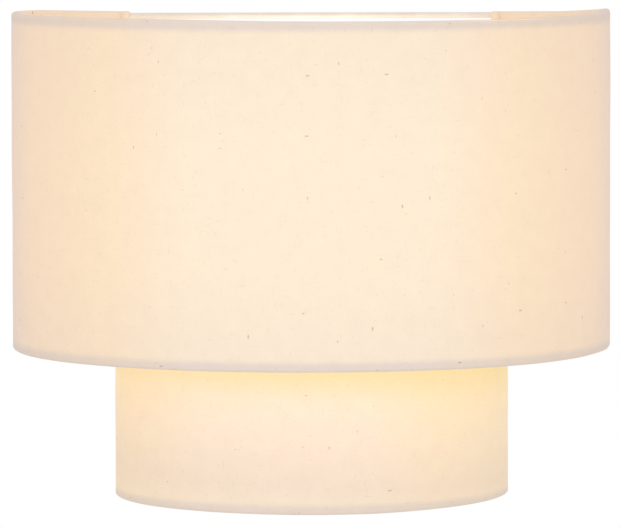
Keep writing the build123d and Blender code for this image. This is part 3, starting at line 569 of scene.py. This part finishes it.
def plain_weave(tree, measure):
    """Height of the weave: |sin(pi x / thread)| or |sin(pi y / thread)|, square by square."""
    parts = add(tree, "ShaderNodeSeparateXYZ", {0: measure})
    ridges = []
    for axis in ("X", "Y"):
        turns = add(
            tree,
            "ShaderNodeMath",
            {0: parts.outputs[axis], 1: np.pi / thread},
            operation="MULTIPLY",
        )
        wave = add(tree, "ShaderNodeMath", {0: turns.outputs[0]}, operation="SINE")
        ridge = add(tree, "ShaderNodeMath", {0: wave.outputs[0]}, operation="ABSOLUTE")
        ridges.append(ridge.outputs[0])
    over = add(tree, "ShaderNodeTexChecker", {"Vector": measure, "Scale": 1 / thread})
    return add(
        tree,
        "ShaderNodeMix",
        {0: over.outputs["Fac"], 2: ridges[0], 3: ridges[1]},
        data_type="FLOAT",
    ).outputs[0]


print(round(0.01 / thread), "threads in 10 mm")

# %% [markdown]
# The yarn is spun unevenly. Its thick places, called slubs, stand up and let a little less light
# through. They lie along threads of both directions, so two noises are stretched along and across
# the cloth, and only their highest places count.

# %% Slubs
slub_long, slub_thick = 0.0040, 0.0012
slub_from, slub_full = 0.65, 0.80  # heights of the noise at which a slub starts and is whole


def slubs(tree, measure):
    """A mask that is 1 on the slubs."""
    found = []
    for size in ((slub_long, slub_thick, 1), (slub_thick, slub_long, 1)):
        stretched = add(
            tree, "ShaderNodeMapping", {"Vector": measure, "Scale": [1 / x for x in size]}
        )
        uneven = add(
            tree,
            "ShaderNodeTexNoise",
            {"Vector": stretched.outputs[0], "Scale": 1.0, "Detail": 1.0, "Roughness": 0.5},
        )
        thick = add(
            tree, "ShaderNodeMapRange", {0: uneven.outputs["Fac"], 1: slub_from, 2: slub_full}
        )
        found.append(thick.outputs[0])
    return add(
        tree, "ShaderNodeMath", {0: found[0], 1: found[1]}, operation="MAXIMUM"
    ).outputs[0]


print("slubs", 1000 * slub_long, "by", 1000 * slub_thick, "mm")

# %% [markdown]
# Undyed cotton also keeps brown specks of seed husk. Scattered dots would have to be placed one by
# one; a Voronoi pattern gives one place in each cell and a random number for it. A power of that
# number makes most specks too small to see and a few large. They lie along the yarn, like the
# slubs, and their edges are ragged.

# %% Husk specks
seed_cell = 0.015  # one place for a speck in each 15 by 37 mm, for each of its two directions
speck_squeeze = 0.4  # width of a speck over its length
speck_rarity = 2.4  # power of the random number
speck_none = 0.05  # up to here that power gives the smallest size
speck_sizes = (0.002, 0.036)  # half widths of the smallest and largest speck, in cells
speck_soft = 0.020  # width of a speck's soft edge, in cells
rag_size, rag_depth = 0.0007, 0.0006  # width of a ragged bit, and how far it moves the edge


def husk_specks(tree, measure):
    """A mask that is 1 on the specks: how much nearer than its size a point is to its cell's
    place."""
    rough_edge = add(tree, "ShaderNodeTexNoise", {"Vector": measure, "Scale": 1 / rag_size})
    shifted = add(
        tree,
        "ShaderNodeVectorMath",
        {0: rough_edge.outputs["Color"], 1: (rag_depth, rag_depth, 0.0), 2: measure},
        operation="MULTIPLY_ADD",
    )
    found = []
    for squeeze in ((1.0, speck_squeeze, 1.0), (speck_squeeze, 1.0, 1.0)):
        squeezed = add(
            tree, "ShaderNodeMapping", {"Vector": shifted.outputs[0], "Scale": squeeze}
        )
        cells = add(
            tree,
            "ShaderNodeTexVoronoi",
            {"Vector": squeezed.outputs[0], "Scale": 1 / seed_cell},
            voronoi_dimensions="2D",
        )
        pick = add(tree, "ShaderNodeSeparateColor", {0: cells.outputs["Color"]})
        few = add(
            tree, "ShaderNodeMath", {0: pick.outputs[0], 1: speck_rarity}, operation="POWER"
        )
        size = add(
            tree,
            "ShaderNodeMapRange",
            {0: few.outputs[0], 1: speck_none, 2: 1.0, 3: speck_sizes[0], 4: speck_sizes[1]},
        )
        depth = add(
            tree,
            "ShaderNodeMath",
            {0: size.outputs[0], 1: cells.outputs["Distance"]},
            operation="SUBTRACT",
        )
        mask = add(tree, "ShaderNodeMapRange", {0: depth.outputs[0], 1: 0.0, 2: speck_soft})
        found.append(mask.outputs[0])
    return add(
        tree, "ShaderNodeMath", {0: found[0], 1: found[1]}, operation="MAXIMUM"
    ).outputs[0]


print("largest speck", round(2000 * speck_sizes[1] * seed_cell, 1), "mm wide")

# %% [markdown]
# Together they dress the bare cotton: pale and warm, quite matt, with the faint sheen of loose
# fibres. What the light does comes after it, because each side of the cloth is lit differently.

# %% Cotton before it is lit
clouds_per_metre = 110.0  # patches of denser cloth, about 9 mm across
cloud_depth = 0.015  # how much brighter or darker they are
cloud_range = (0.3, 0.7)  # heights of the noise from the darkest to the brightest
slub_relief, slub_shade = 1.4, 0.08  # of the weave's height, and of the brightness
weave_height, weave_strength = 0.00012, 0.22  # of a thread, and how much of it shows
husk_cover, husk_shade = 0.6, 0.72  # how brown a speck is, and how much light it leaves


def tinted(tree, colour, *shares):
    """A colour times each of the shares."""
    for share in shares:
        colour = add(
            tree,
            "ShaderNodeMix",
            {0: 1.0, 6: colour, 7: share},
            data_type="RGBA",
            blend_type="MULTIPLY",
        ).outputs[2]
    return colour


def dressed_cotton(name):
    """Cotton's own colour, weave and specks, and two shares of the light that comes through: one
    for the yarn and one for the specks."""
    material, tree, shader = new_material(name)
    measure = add(tree, "ShaderNodeUVMap", uv_map="cloth_measure").outputs[0]
    thick = slubs(tree, measure)
    speck = husk_specks(tree, measure)
    relief = add(
        tree,
        "ShaderNodeMath",
        {0: thick, 1: slub_relief, 2: plain_weave(tree, measure)},
        operation="MULTIPLY_ADD",
    )
    cloudy = add(
        tree, "ShaderNodeTexNoise", {"Vector": measure, "Scale": clouds_per_metre, "Detail": 4.0}
    )
    even = add(
        tree,
        "ShaderNodeMapRange",
        {
            0: cloudy.outputs["Fac"],
            1: cloud_range[0],
            2: cloud_range[1],
            3: 1 - cloud_depth,
            4: 1 + cloud_depth,
        },
    )
    bright = add(
        tree,
        "ShaderNodeMath",
        {0: thick, 1: -slub_shade, 2: even.outputs[0]},
        operation="MULTIPLY_ADD",
    ).outputs[0]
    faint = add(tree, "ShaderNodeMapRange", {0: speck, 3: 0.0, 4: husk_cover})
    husk = add(
        tree,
        "ShaderNodeMix",
        {
            0: faint.outputs[0],
            6: tinted(tree, linear("#E6D6C9"), bright),
            7: linear("#9A8874"),
        },
        data_type="RGBA",
    )
    bump = add(
        tree,
        "ShaderNodeBump",
        {"Strength": weave_strength, "Distance": weave_height, "Height": relief.outputs[0]},
    )
    feed(
        tree,
        shader,
        {
            "Base Color": husk.outputs[2],
            "Normal": bump.outputs[0],
            "Roughness": 0.92,
            "Sheen Weight": 0.12,
            "Sheen Roughness": 0.6,
        },
    )
    material.cycles.emission_sampling = "NONE"
    dark = add(tree, "ShaderNodeMapRange", {0: speck, 3: 1.0, 4: husk_shade})
    return material, tree, shader, bright, dark.outputs[0]


# %% [markdown]
# ## The glow
#
# Light comes through a single layer of cotton warm and soft, and hardly through the hems, where
# the wire and three more layers stop it. A lamp inside and translucent cloth could do the same,
# but slowly, with noise, and with no hand on the balance. The opal lamp and the white lining
# spread the light, so the glow of the front is nearly even, and it is written as a shade over the
# width times a shade over the height.

# %% Ramps and hems
hem_share = "#A0A4D5"  # what a hem leaves of the light through one layer: a third, and bluer
hem_dark_to, hem_light_from = 0.0025, 0.0067  # from the rim: between them the light comes back
wobbles_per_metre = 90.0  # a hem's inner edge wavers about every 11 mm
wobble = 0.0010  # by up to a millimetre


def ramp(tree, place, stops):
    """A colour that goes through stops, each a place in metres and a colour."""
    low, high = stops[0][0], stops[-1][0]
    share = add(tree, "ShaderNodeMapRange", {0: place, 1: low, 2: high})
    made = add(tree, "ShaderNodeValToRGB", {0: share.outputs[0]})
    marks = made.color_ramp.elements
    while len(marks) < len(stops):
        marks.new(1.0)
    for mark, (at, colour) in zip(marks, stops):
        mark.position = (at - low) / (high - low)
        mark.color = linear(colour)
    return made.outputs[0]


def hem_shade(tree, height, edge, inwards):
    """The share of light that passes near a rim: hem_share on the hem, eased to white beyond it.
    inwards is 1 at a lower rim and -1 at an upper one. Half the wobble is what it adds to the
    height on average."""
    single = add(
        tree,
        "ShaderNodeMapRange",
        {
            0: height,
            1: edge + inwards * hem_dark_to + wobble / 2,
            2: edge + inwards * hem_light_from + wobble / 2,
        },
        interpolation_type="SMOOTHSTEP",
    )
    return add(
        tree,
        "ShaderNodeMix",
        {0: single.outputs[0], 6: linear(hem_share), 7: white},
        data_type="RGBA",
    ).outputs[2]


# %% [markdown]
# The glow could be laid out along the cloth, as the weave is, but it belongs to the lamp. In x
# and z it stays where the lamp puts it. A noise moves the hem's inner edge a little, because
# four layers of cloth never end in one straight line.


# %% Cotton with the lamp behind it
def cotton_lit_through(name, bottom, top, strength, middle, lean, across, upwards):
    """Cotton with the lamp behind it. Its glow is the product of a ramp over |x - middle| and a
    ramp over z + lean (x - middle), so that the glow can reach lower on the right, times the
    shade of both hems."""
    material, tree, shader, bright, dark = dressed_cotton(name)
    place = add(tree, "ShaderNodeTexCoord").outputs["Object"]
    at = add(tree, "ShaderNodeSeparateXYZ", {0: place})
    uneven = add(
        tree, "ShaderNodeTexNoise", {"Vector": place, "Scale": wobbles_per_metre, "Detail": 2.0}
    )
    height = add(
        tree,
        "ShaderNodeMath",
        {0: uneven.outputs["Fac"], 1: wobble, 2: at.outputs["Z"]},
        operation="MULTIPLY_ADD",
    ).outputs[0]
    aside = add(
        tree, "ShaderNodeMath", {0: at.outputs["X"], 1: middle}, operation="SUBTRACT"
    ).outputs[0]
    off_middle = add(tree, "ShaderNodeMath", {0: aside}, operation="ABSOLUTE")
    leaning = add(
        tree, "ShaderNodeMath", {0: aside, 1: lean, 2: at.outputs["Z"]}, operation="MULTIPLY_ADD"
    )
    glow = tinted(
        tree,
        ramp(tree, off_middle.outputs[0], across),
        ramp(tree, leaning.outputs[0], upwards),
        hem_shade(tree, height, bottom, 1),
        hem_shade(tree, height, top, -1),
        bright,
        dark,
    )
    feed(tree, shader, {"Emission Color": glow, "Emission Strength": strength})
    return material


# %% [markdown]
# Seen from the room, the glow is even over the front and turns warmer towards the corners, where
# the light passes the cloth at a slant; right at the corners it fades. The lower tier is lit from
# its top, which also catches yellow light out of the upper one, lower down on its right side, and
# it fades downwards.

# %% Both glows
lower_sag = 0.0010  # how far the lower tier's rim hangs below its plain height

upper_look = cotton_lit_through(
    "cotton_upper_lit_through",
    upper_bottom,
    upper_top,
    strength=0.30,
    middle=0.0,
    lean=0.0,
    across=[
        (0.000, "#F8E8B8"),
        (0.060, "#FAE7B4"),
        (0.100, "#FAD272"),
        (0.136, "#F4C268"),
        (0.143, "#E6B572"),
        (0.149, "#CA9C80"),
    ],
    upwards=[(-0.056, "#E6E2E4"), (-0.010, "#FDF7F2"), (0.050, "#FFFBF8"), (0.105, "#F3ECE6")],
)
lower_look = cotton_lit_through(
    "cotton_lower_lit_through",
    lower_bottom - lower_sag,
    lower_top,
    strength=0.39,
    middle=-0.014,
    lean=0.040,
    across=[(0.000, "#F8FEFF"), (0.040, "#F9FEFA"), (0.076, "#FFFABA"), (0.104, "#F8F9B6")],
    upwards=[
        (-0.129, "#CCB084"),
        (-0.116, "#C2A482"),
        (-0.090, "#E4C6A6"),
        (-0.074, "#F5D7AE"),
        (-0.061, "#F2D652"),
        (-0.047, "#EAC71E"),
    ],
)
print("glows:", upper_look.name, "and", lower_look.name)

# %% [markdown]
# Inside, the lamp shines straight on the cloth: on the hems' inner faces and the flaps. There the
# glow is an even part that has bounced about, and a part that falls off with the square of the
# distance from the lamp.

# %% Cotton that the lamp shines on
globe_low, globe_high = box_of("bulb_globe")
globe_radius = (globe_high[1] - globe_low[1]) / 2
lamp_y, lamp_z = globe_low[1] + globe_radius, globe_high[2] - globe_radius
lamp_place = (0.0, round(lamp_y, 4), round(lamp_z, 4))
lamp_to_front = upper_radius + lamp_place[1]  # from the lamp to the front of the upper tier


def lamp_falloff(tree, even, near):
    """even + near (lamp_to_front / d) ** 2, at a distance d from the lamp."""
    place = add(tree, "ShaderNodeTexCoord").outputs["Object"]
    away = add(tree, "ShaderNodeVectorMath", {0: place, 1: lamp_place}, operation="DISTANCE")
    ratio = add(
        tree, "ShaderNodeMath", {0: lamp_to_front, 1: away.outputs["Value"]}, operation="DIVIDE"
    )
    square = add(tree, "ShaderNodeMath", {0: ratio.outputs[0], 1: 2.0}, operation="POWER")
    return add(
        tree, "ShaderNodeMath", {0: square.outputs[0], 1: near, 2: even}, operation="MULTIPLY_ADD"
    ).outputs[0]


inside_look, tree, shader, bright, dark = dressed_cotton("cotton_lit_inside")
falloff = lamp_falloff(tree, even=0.08, near=0.15)
glow = tinted(tree, linear("#FFCE78"), falloff, bright, dark)
feed(tree, shader, {"Emission Color": glow, "Emission Strength": 1.0})
print("lamp at", lamp_place)

# %% [markdown]
# Each sheet moves with the shade and stands for the CAD model's plain cover. It is stretched
# over two rings of the wire frame.

# %% Dress the covers
for cover, look, body_rings, size in (
    (upper_cover, upper_look, ["upper_top_ring", "upper_bottom_ring"], upper_flat),
    (lower_cover, lower_look, ["lower_top_ring", "lower_bottom_ring"], lower_flat),
):
    cover.data.materials.append(look)
    cover.data.materials.append(inside_look)
    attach(cover, "shade")
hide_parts("upper_cover")
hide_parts("lower_cover")
print("covers dressed, each with", len(upper_cover.data.materials), "looks")

# %% [markdown]
# ## Everything the CAD model already has the right shape for
#
# These pieces keep their CAD shape and get a finish. A flat colour would do for parts this small,
# but each real finish has two close tones in patches, a roughness that goes with them and a fine
# relief, and with those it looks right from near by too. One function makes them all from the
# sizes of the real patches and grain.

# %% How a finish is made
clear_ior = 1.5  # about that of paint, plastic and glass; a metal keeps the default
patch_range = (0.35, 0.65)  # heights of the noise from the light tone to the dark one
rough_spread = 0.15  # how much smoother or rougher the tones are
relief_strength = 0.6


def finish(name, light, dark, patch, rough, relief=0.0, grain=0.0008, metallic=0.0):
    """A surface in two tones, in patches of a size in metres, with a relief of a depth and a grain
    in metres. Its roughness varies about rough with the patches, by rough_spread of it."""
    material, tree, shader = new_material(name)
    place = add(tree, "ShaderNodeTexCoord").outputs["Object"]
    patches = add(
        tree, "ShaderNodeTexNoise", {"Vector": place, "Scale": 1 / patch, "Detail": 4.0}
    )
    share = add(
        tree,
        "ShaderNodeMapRange",
        {0: patches.outputs["Fac"], 1: patch_range[0], 2: patch_range[1]},
    ).outputs[0]
    tone = add(
        tree, "ShaderNodeMix", {0: share, 6: linear(light), 7: linear(dark)}, data_type="RGBA"
    )
    smooth, worn = (1 - rough_spread) * rough, (1 + rough_spread) * rough
    roughness = add(tree, "ShaderNodeMapRange", {0: share, 3: smooth, 4: worn})
    feed(
        tree,
        shader,
        {"Base Color": tone.outputs[2], "Roughness": roughness.outputs[0], "Metallic": metallic},
    )
    if not metallic:
        feed(tree, shader, {"IOR": clear_ior})
    if relief:
        fine = add(
            tree, "ShaderNodeTexNoise", {"Vector": place, "Scale": 1 / grain, "Detail": 2.0}
        )
        bump = add(
            tree,
            "ShaderNodeBump",
            {"Strength": relief_strength, "Distance": relief, "Height": fine.outputs["Fac"]},
        )
        feed(tree, shader, {"Normal": bump.outputs[0]})
    return material, tree, shader


# %% [markdown]
# Each finish is named for what the real piece is made of and how. The numbers are the size of
# its patches, its roughness, and the depth and size of its grain; the last is 1 for a metal.

# %% The finishes of the CAD pieces
plain_finishes = {
    # dipped coating on wire: cream, satin, a little lumpy
    # further down, this wire finish also gets painted lamp light on the side that faces the lamp
    "white_wire": finish("cream_wire_painted_lamp_light", "#F2EAE0", "#EBDFD3", 0.012, 0.42, 4e-5),
    # powder coating: an even off-white with the finest orange peel
    "white_plate": finish("powder_coated_sheet", "#EFEEEA", "#E8E6E0", 0.030, 0.45, 5e-5),
    # zinc plating: bluish grey metal, clouded, with soft reflections
    "zinc_steel": finish("zinc_plated_steel", "#C3C6CB", "#B4B6B4", 0.006, 0.32, 2e-5, 0.0004, 1.0),
    # nickel on turned brass: warm grey, brighter and sharper than zinc
    "nickel": finish("nickel_plated_brass", "#CFC9BE", "#C2BAAC", 0.005, 0.24, 1e-5, 0.0004, 1.0),
    # bare brass: yellow metal, slightly dulled by handling
    "brass": finish("brass", "#D6BC74", "#C8A95C", 0.004, 0.30, 1e-5, 0.0004, 1.0),
    # moulded thermoplastic: smooth and slightly glossy off-white
    "white_holder": finish("moulded_thermoplastic", "#EDECE6", "#E7E5DC", 0.020, 0.36, 2e-5),
    # unglazed pressed ceramic: chalky, with a grain of its own
    "white_ceramic": finish("pressed_steatite", "#E6E1D6", "#DBD5C7", 0.003, 0.62, 6e-5, 0.0005),
    # moulded nylon: waxy and faintly yellow
    "block_plastic": finish("moulded_nylon", "#E4E0D0", "#DAD5C3", 0.008, 0.48, 3e-5),
    # extruded insulation: smooth, full colours with a soft shine
    "live_sleeve": finish("pvc_brown", "#5B3A22", "#50321C", 0.006, 0.38, 1e-5),
    "neutral_sleeve": finish("pvc_blue", "#2F5FA6", "#285496", 0.006, 0.38, 1e-5),
    # thin nickel plating on the lamp's cap: pale and bright
    "lamp_cap": finish("nickel_plated_cap", "#D2D3D4", "#C4C5C7", 0.005, 0.22, 1e-5, 0.0004, 1.0),
    # fused glass round the cap's tip: black and glossy
    "lamp_glass": finish("black_cap_glass", "#1A1A1C", "#121214", 0.004, 0.10),
    # the lamp's plastic housing: off-white, satin
    "lamp_housing": finish("moulded_housing", "#EFEEEA", "#E7E6E0", 0.012, 0.40, 2e-5),
    # lacquered board: white, with a faint mottle of glass cloth
    "circuit_board": finish("white_circuit_board", "#E9E8DE", "#DAD8CB", 0.003, 0.40, 2e-5),
}
looks = {slot: made[0] for slot, made in plain_finishes.items()}
print(len(looks), "plain finishes")

# %% [markdown]
# The earth wire's insulation is half green and half yellow, in stripes along the wire. Stripes
# could be painted on a UV map, but a CAD mesh has none. The side that the surface faces tells the
# two colours apart just as well.

# %% Earth wire
stripe_edge = 0.05  # x + z of the normal at which a stripe has its whole colour

striped, tree, shader = finish("pvc_green_yellow", "#3E8A34", "#357A2C", 0.006, 0.38, 1e-5)
green = shader.inputs["Base Color"].links[0].from_socket
normal = add(tree, "ShaderNodeTexCoord").outputs["Normal"]
faces = add(tree, "ShaderNodeSeparateXYZ", {0: normal})
turned = add(
    tree, "ShaderNodeMath", {0: faces.outputs["X"], 1: faces.outputs["Z"]}, operation="ADD"
)
stripe = add(
    tree, "ShaderNodeMapRange", {0: turned.outputs[0], 1: -stripe_edge, 2: stripe_edge}
)
both = add(
    tree,
    "ShaderNodeMix",
    {0: stripe.outputs[0], 6: green, 7: linear("#E3CB2E")},
    data_type="RGBA",
)
feed(tree, shader, {"Base Color": both.outputs[2]})
looks["earth_sleeve"] = striped
print("striped:", striped.name)

# %% [markdown]
# The bare wires catch the lamp on the side that faces it, so the bar at the top is bright
# underneath and only cream on top. A real lamp inside would light them so, but the glow here is
# in the materials, so the wire's material works out which way the lamp is.

# %% Wire
lit_from = 0.45  # cosine of the angle to the lamp from which on a wire looks lit

wire_painted_lamp_light, tree, shader = plain_finishes["white_wire"]
at = add(tree, "ShaderNodeTexCoord")
towards = add(
    tree, "ShaderNodeVectorMath", {0: lamp_place, 1: at.outputs["Object"]}, operation="SUBTRACT"
)
straight = add(tree, "ShaderNodeVectorMath", {0: towards.outputs[0]}, operation="NORMALIZE")
facing = add(
    tree,
    "ShaderNodeVectorMath",
    {0: straight.outputs[0], 1: at.outputs["Normal"]},
    operation="DOT_PRODUCT",
)
lamp_side = add(tree, "ShaderNodeMapRange", {0: facing.outputs["Value"], 1: lit_from, 2: 1.0})
falloff = lamp_falloff(tree, even=0.8, near=0.2)
glow = tinted(tree, linear("#FFF7F4"), falloff, lamp_side.outputs[0])
feed(tree, shader, {"Emission Color": glow, "Emission Strength": 0.25})
wire_painted_lamp_light.cycles.emission_sampling = "NONE"
print("lit wire:", wire_painted_lamp_light.name)

# %% [markdown]
# The lining is a stiff white plastic sheet bonded behind the cotton. From inside it is what the
# lamp lights, so it is the brightest broad surface, and it glows as the inside of the cotton does.
# The globe of the lamp is opal glass over a small board of lights: evenly bright all over, a
# little less at its foot. Opal glass with a light behind it could be rendered as it is, but a
# glow of its own is as even and far quicker.

# %% Lining and lamp globe
globe_foot, globe_lit = 0.034, 0.052  # heights between which the globe brightens
foot_share = 0.7

lining, tree, shader = finish("styrene_lining_painted_lamp_light", "#F3EFE6", "#EDE8DC", 0.020, 0.55, 3e-5)
# painted lamp light: the lining glows most near the lamp and less farther from it
falloff = lamp_falloff(tree, even=0.16, near=0.22)
glow = tinted(tree, linear("#FFD9A0"), falloff)
feed(tree, shader, {"Emission Color": glow, "Emission Strength": 1.0})
lining.cycles.emission_sampling = "NONE"
looks["lining"] = lining

opal, tree, shader = finish("opal_glass_lit", "#FBF3E2", "#F8EFDC", 0.015, 0.25)
place = add(tree, "ShaderNodeTexCoord").outputs["Object"]
at = add(tree, "ShaderNodeSeparateXYZ", {0: place})
foot = add(
    tree,
    "ShaderNodeMapRange",
    {0: at.outputs["Z"], 1: globe_foot, 2: globe_lit, 3: foot_share, 4: 1.0},
)
glow = tinted(tree, linear("#FFF7E8"), foot.outputs[0])
feed(tree, shader, {"Emission Color": glow, "Emission Strength": 2.4})
looks["opal"] = opal
print("lit:", lining.name, "and", opal.name)

# %% [markdown]
# Each CAD node names the slot of material that it is made of, so a finish goes on by that name,
# whatever the node is called.

# %% Give each CAD node its finish
for part in frame["record"]["subparts"]:
    if part["material_slot"] in looks:
        mesh = nodes[part["node"]].data
        mesh.materials.clear()
        mesh.materials.append(looks[part["material_slot"]])
print(len(looks), "finishes")
